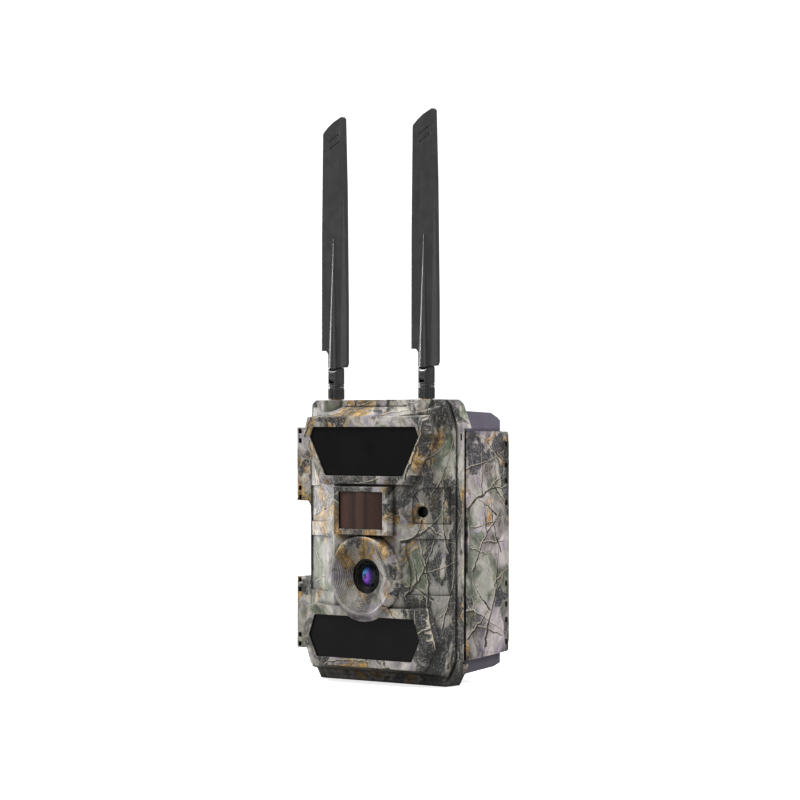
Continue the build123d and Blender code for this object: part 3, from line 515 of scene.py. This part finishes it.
def moulded_skin(net, plane, base, point):
    """Satin skin with orange peel, rubbed edges, and shade in corners and seams."""
    flat = plane.flat
    bevelled = net.bevel(0.00055)
    patches = net.rise(net.noise(flat, scale=0.6, detail=3, rough=0.6), 0.42, 0.62)
    wear = net.edge_wear(bevelled, edge=(0.02, 0.22), patches=patches)
    base = net.mix(base, (186, 180, 168), wear, amount=0.30)
    corners = net.ramp(net.occlusion(0.014), [
        (0.15, grey(0.02)), (0.5, (0.30, 0.29, 0.27, 1)), (0.8, (0.80, 0.79, 0.78, 1)),
        (0.96, grey(1))])
    base = net.mix(base, corners, amount=0.85, mode="MULTIPLY")
    seams = net.ramp(net.occlusion(0.0022), [
        (0.45, grey(0.05)), (0.75, (0.45, 0.44, 0.42, 1)), (0.93, grey(1))])
    base = net.mix(base, seams, amount=0.9, mode="MULTIPLY")
    peel = net.noise(point, scale=2.2, detail=3, rough=0.55)
    height = net.add(net.mul(peel, 0.7), net.mul(net.noise(point, scale=9.0), 0.3))
    rough = net.spread(net.noise(flat, scale=0.35, detail=3, rough=0.6), 0.36, 0.50)
    return net.finish(
        base=base, rough=rough, spec=0.35, coat=0.12, coat_rough=0.25,
        normal=net.bump(height, strength=0.22, depth=0.00012, normal=bevelled))


def camouflage(name, wrap, seed, twigs, bark=(), ochre=(), sage=(), tint=None):
    net, point = new_material(name)
    plane = pattern_plane(net, point, seed, wrap)
    base = ground_and_sage(net, plane, sage)
    base = ochre_leaves(net, plane, base, ochre)
    base = leaf_shards(net, plane, base)
    flecks = net.noise(plane.flat, scale=0.95, detail=4, rough=0.72, dist=0.6)
    base = bark_areas(net, plane, base, flecks, bark)
    if tint:
        base = net.mix(base, tint, amount=1.0, mode="MULTIPLY")
    base = soft_shading(net, plane, base)
    base = twig_layer(net, plane, base, flecks, twigs)
    base = litter(net, plane, base)
    return moulded_skin(net, plane, base, point)


# ------------------------------------------------------------------ other materials
def plastic(name, dark, light, rough, grain, bump, depth, coat=0.0, sheen=0.0, streak=False,
            wear=None, spec=0.5):
    net, point = new_material(name)
    base = net.two_tone(net.noise(point, scale=0.08, detail=3, rough=0.6), dark, light)
    if streak:
        lines = net.noise(point, scale=0.5, detail=3, rough=0.6, stretch=(1, 1, 0.08))
        paler = [min(255, value + 22) for value in light]
        base = net.mix(base, paler, net.rise(lines, 0.5, 0.75), amount=0.25)
    bevelled = net.bevel(0.0003)
    if wear:
        patches = net.rise(net.noise(point, scale=0.9, detail=3, rough=0.6), 0.40, 0.6)
        mask = net.edge_wear(bevelled, edge=(0.02, 0.2), patches=patches)
        base = net.mix(base, wear, mask, amount=0.55)
    pebbles = net.voronoi(point, scale=grain)["Distance"]
    fine = net.noise(point, scale=grain * 2.2, rough=0.6)
    height = net.add(net.mul(pebbles, 0.6), net.mul(fine, 0.5))
    variation = net.noise(point, scale=0.2, detail=3, rough=0.6)
    return net.finish(
        base=base, rough=net.spread(variation, rough - 0.06, rough + 0.07),
        normal=net.bump(height, strength=bump, depth=depth, normal=bevelled),
        coat=coat, coat_rough=0.12, sheen=sheen, spec=spec)


def metal(name, colour, dark, rough, stretch):
    """Brushed metal; the brushing runs along the axis with the small stretch."""
    net, point = new_material(name)
    brushing = net.noise(point, scale=3.0, detail=4, rough=0.6, stretch=stretch)
    clouds = net.noise(point, scale=0.25, detail=3, rough=0.6)
    base = net.ramp(clouds, [(0.3, dark or [value * 0.8 for value in colour]), (0.65, colour)])
    normal = net.bump(brushing, strength=0.15, depth=0.00005, normal=net.bevel(0.00015))
    return net.finish(base=base, metal=1.0, normal=normal,
                      rough=net.spread(brushing, rough - 0.08, rough + 0.12))


def ir_window():
    """Near-black infrared-pass sheet with fine dust and hairlines."""
    net, point = new_material("m_ir_window")
    base = net.two_tone(net.noise(point, scale=0.05), (17, 17, 17), (22, 22, 22))
    dust = net.noise(point, scale=3.2, rough=0.6)
    base = net.mix(base, (120, 118, 112), net.rise(dust, 0.70, 0.80), amount=0.10)
    scratches = net.wave(net.place(point, tilt=0.5), scale=0.35, dist=14.0, detail=4.0,
                         detail_scale=1.4)
    hairlines = net.mul(net.rise(scratches, 0.985, 1.0), 0.3)
    height = net.add(hairlines, net.mul(net.noise(point, scale=0.12), 0.4))
    variation = net.noise(point, scale=0.4, detail=3, rough=0.6)
    return net.finish(
        base=base, rough=net.spread(variation, 0.16, 0.27),
        normal=net.bump(height, strength=0.10, depth=0.0001, normal=net.bevel(0.0003)),
        spec=0.10, coat=0.03, coat_rough=0.08)


def pir_lens():
    """Brown sheet with fine level ridges, and the light and shade of its upright facets painted in
    bands across it.
    """
    net, point = new_material("m_pir")
    # painted light and shade: lighter and darker upright bands across the lens stand for the light
    # falling on its facets
    across = net.remap(net.split(point)[0], -15.0, 15.0, 0.0, 1.0)
    base = net.ramp(across, [
        (0.0, (66, 44, 38)), (0.10, (72, 49, 42)), (0.26, (60, 40, 34)), (0.33, (44, 29, 25)),
        (0.42, (74, 51, 44)), (0.53, (70, 48, 41)), (0.60, (45, 30, 26)), (0.70, (62, 42, 36)),
        (0.88, (58, 38, 33)), (1.0, (42, 28, 24))])
    clouds = net.noise(point, scale=0.5, detail=3, rough=0.6)
    base = net.mottle(base, clouds, low=0.3, high=0.8, amount=0.2)
    ridges = net.wave(net.place(point, shift=(0, 0, -86.7)), scale=0.9, axis="Z")
    fine = net.noise(point, scale=4.0, rough=0.6)
    height = net.add(net.mul(ridges, 0.5), net.mul(fine, 0.5))
    return net.finish(
        base=base, rough=net.spread(clouds, 0.30, 0.42),
        normal=net.bump(height, strength=0.25, depth=0.00015, normal=net.bevel(0.0002)),
        spec=0.2, coat=0.05, coat_rough=0.2)


def glass(name, tint, alpha, edge, spec):
    """Thin clear sheet; edge is how much more solid it gets at a glancing view."""
    net, point = new_material(name)
    fresnel = net.node("LayerWeight", {0: 0.35}).outputs["Fresnel"]
    smudge = net.noise(point, scale=0.4, detail=3, rough=0.6)
    cover = net.remap(smudge, 0.3, 0.8, alpha * 0.8, alpha * 1.3)
    return net.finish(
        base=rgb(tint), rough=net.remap(smudge, 0.3, 0.8, 0.02, 0.07),
        alpha=net.add(cover, net.mul(fresnel, edge)), spec=spec,
        normal=net.bump(net.noise(point, scale=0.2), strength=0.04, depth=0.0001))


def lens_coating():
    """Dark glass with the violet, blue and cyan reflection of its coating painted on in rings, a
    painted glint, and a painted glow.
    """
    net, point = new_material("m_lens_coat")
    x, _, z = net.split(point)
    # the painted coating reflection sits a little off the axis, as a reflection does
    across = net.mul(net.add(x, 2.3), 0.74)
    up = net.mul(net.sub(z, 51.8), 0.72)
    radius = net.radius(across, up)
    side = net.add(net.mul(across, 0.62), net.mul(up, -0.78))
    cool = net.mix((70, 150, 215), (28, 74, 140), net.rise(radius, 1.0, 3.6))
    warm = net.mix((150, 84, 214), (74, 34, 136), net.rise(radius, 1.0, 3.4))
    base = net.mix(cool, warm, net.rise(side, -2.2, 1.4))
    base = net.mix((5, 5, 10), base, net.band(radius, 0.55, 1.35, 2.1, 4.4))
    rings = net.wave(net.combine(radius, 0.0, 0.0), scale=0.42)
    base = net.mix(base, (14, 10, 34), net.rise(rings, 0.55, 0.95), amount=0.35)
    base = net.mix(base, (112, 70, 160), net.fall(radius, 0.25, 0.6), amount=0.8)
    # painted glint: a pale blue highlight spot painted on the glass
    glint = net.radius(net.add(x, 4.3), net.sub(z, 54.0))
    base = net.mix(base, (130, 200, 232), net.fall(glint, 0.3, 1.0), amount=0.8)
    base = net.mottle(base, net.noise(point, scale=1.2), low=0.3, high=0.8, amount=0.1)
    # the lens emits its own painted colours: a painted glow, though it is no lamp
    return net.finish(base=base, rough=0.08, spec=0.3, coat=0.25, coat_rough=0.02, emit=base,
                      emit_strength=0.38)


def circuit_board():
    net, point = new_material("m_pcb")
    x, _, z = net.split(point)
    flat = net.combine(x, z, 0.0)
    cells = net.voronoi(net.place(flat), scale=0.35, feature="DISTANCE_TO_EDGE", randomness=0.35)
    traces = net.fall(cells["Distance"], 0.02, 0.05)
    dots = net.voronoi(flat, scale=0.5, randomness=0.2)
    pads = net.fall(dots["Distance"], 0.10, 0.14)
    base = net.mix((18, 70, 42), (40, 112, 66), traces, amount=0.6)
    base = net.mix(base, (196, 178, 120), pads)
    return net.finish(
        base=base, rough=net.remap(pads, 0, 1, 0.35, 0.25), metal=net.mul(pads, 0.8),
        normal=net.bump(net.add(traces, pads), strength=0.3, depth=0.0001),
        coat=0.3, coat_rough=0.15)


def display():
    """Dark display with five cells to the millimetre."""
    net, point = new_material("m_screen")
    x, _, z = net.split(point)
    cells = net.mul(net.math("FRACT", net.mul(x, 5.0)), net.math("FRACT", net.mul(z, 5.0)))
    return net.finish(
        base=net.ramp(cells, [(0.0, (14, 16, 20)), (1.0, (26, 30, 36))]),
        rough=0.18, spec=0.5, coat=0.8, coat_rough=0.04,
        normal=net.bump(net.noise(point, scale=0.3), strength=0.05, depth=0.0001))


def battery_cell():
    """Grey sleeve with two thin rings near the top of each row, and metal end caps."""
    net, point = new_material("m_cell")
    height = net.add(net.split(point)[2], LAYOUT_OFFSET[2])
    streaks = net.noise(point, scale=0.8, detail=3, rough=0.6, stretch=(1, 1, 0.1))
    base = net.two_tone(streaks, (128, 134, 138), (150, 156, 160))
    # place within a row: rows start at 21.2 mm and repeat every 57 mm
    part = net.math("FRACT", net.math("DIVIDE", net.sub(height, 21.2), 57.0))
    rings = net.add(net.band(part, 0.76, 0.765, 0.78, 0.785),
                    net.band(part, 0.80, 0.805, 0.82, 0.825))
    base = net.mix(base, (44, 72, 92), rings)
    normal = net.node("NewGeometry").outputs["Normal"]
    cap = net.rise(net.math("ABSOLUTE", net.split(normal)[2]), 0.8, 0.9)
    base = net.mix(base, (190, 190, 192), cap)
    return net.finish(
        base=base, rough=net.spread(streaks, 0.22, 0.34), metal=cap, coat=0.4, coat_rough=0.1,
        normal=net.bump(streaks, strength=0.1, depth=0.0001, normal=net.bevel(0.0004)))


# ------------------------------------------------------------------ dress the pieces
# Plastics: name, dark, light, roughness, grain scale, bump strength, bump depth (m),
# other settings, pieces
CASE_PLASTICS = [
    ("m_housing", (74, 69, 82), (92, 86, 102), 0.42, 5.0, 0.18, 0.00006,
     dict(sheen=0.15, wear=(112, 106, 118)), "rear_housing"),
    ("m_black", (16, 16, 17), (26, 26, 27), 0.42, 4.0, 0.2, 0.00006, dict(wear=(70, 70, 70)),
     "light_sensor mode_switch speaker mode_switch_knob dc_jack"),
    ("m_antenna", (37, 37, 38), (47, 47, 48), 0.34, 5.5, 0.16, 0.00005,
     dict(wear=(88, 88, 88), streak=True, coat=0.45),
     "antenna_blade_left antenna_blade_right antenna_base_left antenna_base_right "
     "antenna_nut_left antenna_nut_right antenna_pin_left antenna_pin_right"),
    ("m_barrel", (6, 6, 7), (11, 11, 12), 0.6, 4.0, 0.15, 0.00006, dict(spec=0.15),
     "lens_barrel lens_holder"),
    ("m_grey", (36, 37, 39), (50, 51, 53), 0.55, 3.5, 0.35, 0.0001, dict(wear=(92, 92, 92)),
     "inner_panel battery_tray tact_switches"),
    ("m_key", (58, 60, 62), (74, 76, 78), 0.62, 6.0, 0.2, 0.00008, dict(sheen=0.2),
     "key_ok key_up key_down key_left key_right"),
    ("m_rubber", (20, 20, 21), (30, 30, 31), 0.68, 3.0, 0.25, 0.00008, dict(sheen=0.3),
     "housing_seal dc_plug"),
]
SMALL_PLASTICS = [
    ("m_led", (20, 18, 30), (32, 28, 44), 0.12, 1.0, 0.03, 0.0001, dict(coat=1.0),
     "upper_ir_leds lower_ir_leds"),
    ("m_sd", (24, 30, 52), (34, 42, 70), 0.45, 4.0, 0.15, 0.00008, {}, "sd_card"),
    ("m_sim", (214, 214, 208), (228, 228, 222), 0.4, 4.0, 0.1, 0.00008, {}, "sim_card"),
    ("m_wire", (18, 18, 18), (30, 30, 30), 0.5, 4.0, 0.2, 0.00008, {},
     "coax_leads battery_cable"),
    # a spare: no piece wears it
    ("m_wire_red", (150, 24, 20), (176, 34, 28), 0.45, 4.0, 0.2, 0.00008, {}, ""),
]
# Metals: name, colour, dark colour (None: 0.8 of the colour), roughness, stretch, pieces
METALS = [
    ("m_steel", (196, 196, 194), None, 0.28, (1, 1, 0.05),
     "panel_screws bracket_screws cover_hinge_pins latch_hinge_pins battery_contacts "
     "battery_springs ir_cut_filter"),
    ("m_steel_can", (176, 178, 180), None, 0.36, (1, 0.1, 1),
     "pir_sensor modem_module sd_slot sim_slot"),
    ("m_brass", (205, 164, 88), (168, 128, 60), 0.30, (1, 1, 0.2), "tripod_insert"),
    ("m_gold", (226, 184, 96), (196, 150, 66), 0.24, (1, 1, 0.2), "antenna_jacks"),
]


def dress_plastics(table):
    for *look, extras, pieces in table:
        dress(plastic(*look, **extras), *pieces.split())


dress(camouflage("m_camo_front", "front", seed=7, twigs=FRONT_TWIGS, bark=FRONT_BARK,
                 ochre=FRONT_OCHRE, sage=FRONT_SAGE), "front_cover")
dress(camouflage("m_camo_side", "side", seed=19, twigs=SIDE_TWIGS, bark=SIDE_BARK,
                 ochre=SIDE_OCHRE, sage=SIDE_SAGE, tint=(1.02, 0.96, 1.08, 1)), "latch_panel")
back_twigs = scatter_twigs(seed=5, along_span=(-60, 60), up_span=(18, 100), stems=6, width=1.0,
                           side_twigs=2)
dress(camouflage("m_camo_back", "back", seed=31, twigs=back_twigs), "back_bracket")
dress_plastics(CASE_PLASTICS)
dress(ir_window(), "upper_led_window", "lower_led_window")
dress(pir_lens(), "pir_lens")
dress(glass("m_glass", (6, 6, 8), alpha=0.05, edge=0.10, spec=0.35), "lens_window")
dress(glass("m_glass_lcd", (40, 44, 48), alpha=0.16, edge=0.35, spec=0.8), "lcd_window")
dress(lens_coating(), "lens_element")
dress(circuit_board(), "main_board", "upper_led_board", "lower_led_board", "image_sensor_board")
dress(display(), "lcd_module")
dress(battery_cell(), "aa_cells")
for *look, pieces in METALS:
    dress(metal(*look), *pieces.split())
dress_plastics(SMALL_PLASTICS)


# ------------------------------------------------------------------ battery lead
# Runs from the battery pack to the cover: x, y, z in layout mm
LEAD_PATH = [
    (-42.0, 37.0, 74.8), (-42.0, 33.5, 75.2), (-41.6, 30.0, 76.4), (-41.3, 27.0, 77.2),
    (-41.3, 24.0, 77.3), (-41.0, 22.0, 77.3), (-39.4, 20.7, 77.3), (-37.5, 20.3, 77.3),
    (-36.2, 18.9, 77.3),
]
LEAD_RADIUS = 1.1


def from_layout(*point):
    """Layout mm to object metres."""
    return tuple((value - offset) * MM for value, offset in zip(point, LAYOUT_OFFSET))


def smooth_path(path, steps):
    """Catmull-Rom curve through the points."""
    knots = [Vector(point) for point in path]
    last = len(knots) - 1
    points = []
    for i in range(last):
        before, start, end, after = (
            knots[max(i - 1, 0)], knots[i], knots[i + 1], knots[min(i + 2, last)])
        for k in range(steps):
            t = k / steps
            points.append(0.5 * ((2 * start) + (end - before) * t
                                 + (2 * before - 5 * start + 4 * end - after) * t * t
                                 + (3 * start - before - 3 * end + after) * t ** 3))
    points.append(knots[-1])
    return points


def tube(name, path, radius, material, sides=10, steps=10):
    """Smooth round tube through the points, with closed ends."""
    points = smooth_path(path, steps)
    mesh_edit = bmesh.new()
    rings = []
    up = Vector((0, 0, 1))
    for i, point in enumerate(points):
        heading = (points[min(i + 1, len(points) - 1)] - points[max(i - 1, 0)]).normalized()
        across = heading.cross(up)
        if across.length < 1e-4:
            across = heading.cross(Vector((1, 0, 0)))
        across.normalize()
        normal = heading.cross(across).normalized()
        up = -normal if normal.dot(up) < 0 else normal
        ring = []
        for k in range(sides):
            angle = 2 * math.pi * k / sides
            place = point + (across * math.cos(angle) + normal * math.sin(angle)) * radius
            ring.append(mesh_edit.verts.new(from_layout(*place)))
        rings.append(ring)
    for ring, following in zip(rings, rings[1:]):
        # start from the nearest vertex of the next ring, so the tube doesn't twist
        shift = min(range(sides), key=lambda s: (ring[0].co - following[s].co).length)
        for k in range(sides):
            mesh_edit.faces.new((ring[k], ring[(k + 1) % sides],
                                 following[(k + 1 + shift) % sides],
                                 following[(k + shift) % sides]))
    mesh_edit.faces.new(list(reversed(rings[0])))
    mesh_edit.faces.new(rings[-1])
    bmesh.ops.recalc_face_normals(mesh_edit, faces=mesh_edit.faces)
    mesh = bpy.data.meshes.new(name)
    mesh_edit.to_mesh(mesh)
    mesh_edit.free()
    for face in mesh.polygons:
        face.use_smooth = True
    body = bpy.data.objects.new(name, mesh)
    mesh.materials.append(material)
    scene.collection.objects.link(body)
    return body


lead = tube("battery_lead", LEAD_PATH, LEAD_RADIUS, bpy.data.materials["m_wire"])
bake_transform(lead)
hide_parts("battery_cable")


# ------------------------------------------------------------------ floor and world
FLOOR_HALF = 6
FLOOR_GAP = 0.0004


def floor_material():
    """Near-white to the camera and mid grey to other rays; it glows to white far out."""
    net, point = new_material("m_floor")
    seen = net.two_tone(net.noise(point, scale=0.002), grey(0.86), grey(0.90))
    base = net.mix(grey(0.34), seen, net.camera_ray())
    camera_ray = net.camera_ray()
    distance = net.vector("LENGTH", point)
    near = net.remap(camera_ray, 0.0, 1.0, 0.12, 0.62)
    far = net.mul(net.rise(distance, 350.0, 1100.0), net.mul(camera_ray, 0.6))
    return net.finish(base=base, rough=0.8, spec=0.1, emit=grey(1),
                      emit_strength=net.add(near, far))


def build_floor():
    mesh_edit = bmesh.new()
    for x, y in ((-1, -1), (1, -1), (1, 1), (-1, 1)):
        mesh_edit.verts.new((x * FLOOR_HALF, y * FLOOR_HALF, cad_low[2] - FLOOR_GAP))
    mesh_edit.faces.new(mesh_edit.verts)
    mesh = bpy.data.meshes.new("floor")
    mesh_edit.to_mesh(mesh)
    mesh_edit.free()
    floor = bpy.data.objects.new("floor", mesh)
    scene.collection.objects.link(floor)
    mesh.materials.append(floor_material())
    return floor


def build_world():
    """White to the camera, dim to everything else."""
    world = bpy.data.worlds.new("studio")
    scene.world = world
    world.use_nodes = True
    net = Net(world.node_tree)
    background = world.node_tree.nodes["Background"]
    net.put(background.inputs[0], (1, 1, 1, 1))
    net.put(background.inputs[1], net.remap(net.camera_ray(), 0.0, 1.0, 0.20, 1.0))


build_floor()
build_world()
scene.view_settings.view_transform = "Standard"
scene.view_settings.look = "None"
scene.view_settings.exposure = 0.30


# ------------------------------------------------------------------ lights and camera
LIGHT_TARGET = Vector((0.0, -0.020, 0.130))


def area_light(name, azimuth, elevation, distance, size, power, size_y=None):
    """Area light aimed at the target; azimuth in degrees from the front toward +X."""
    azimuth, elevation = math.radians(azimuth), math.radians(elevation)
    outward = Vector((math.sin(azimuth) * math.cos(elevation),
                      -math.cos(azimuth) * math.cos(elevation), math.sin(elevation)))
    place = LIGHT_TARGET + outward * distance
    data = bpy.data.lights.new(name, "AREA")
    data.energy = power
    data.shape = "RECTANGLE"
    data.size = size
    data.size_y = size_y or size
    light = bpy.data.objects.new(name, data)
    light.location = place
    light.rotation_euler = (LIGHT_TARGET - place).to_track_quat("-Z", "Y").to_euler()
    scene.collection.objects.link(light)
    return light


area_light("key", azimuth=-56, elevation=52, distance=1.4, size=0.32, power=16.5)
area_light("side", azimuth=104, elevation=30, distance=1.3, size=0.45, power=8.5)
area_light("top", azimuth=-5, elevation=80, distance=1.3, size=0.7, power=9.0)
area_light("front", azimuth=6, elevation=8, distance=1.6, size=0.8, power=1.6)
# a low strip for the long glint down each antenna rib; it adds no diffuse light
strip = area_light("strip", azimuth=-82, elevation=3, distance=1.2, size=0.12, power=6.0,
                   size_y=0.8)
strip.visible_diffuse = False

CAMERA_AZIMUTH = math.radians(40.0)
CAMERA_PITCH = math.radians(0.62502007)
CAMERA_TARGET = (0.0, 0.0, 134.0)  # layout mm
CAMERA_SHIFT = 0.0188  # to the right of the target
CAMERA_DISTANCE = 1.4474


def build_camera():
    right = Vector((math.cos(CAMERA_AZIMUTH), math.sin(CAMERA_AZIMUTH), 0))
    forward = Vector((-math.sin(CAMERA_AZIMUTH), math.cos(CAMERA_AZIMUTH), 0))
    target = (Vector(CAMERA_TARGET) - Vector(LAYOUT_OFFSET)) * MM
    look = forward * math.cos(CAMERA_PITCH) + Vector((0, 0, math.sin(CAMERA_PITCH)))
    data = bpy.data.cameras.new("camera")
    data.sensor_width = 36.0
    data.lens = 123.75
    data.clip_start = 0.05
    data.clip_end = 30.0
    camera = bpy.data.objects.new("camera", data)
    camera.location = target + right * CAMERA_SHIFT - forward * CAMERA_DISTANCE
    camera.rotation_euler = look.to_track_quat("-Z", "Y").to_euler()
    scene.collection.objects.link(camera)
    scene.camera = camera


build_camera()
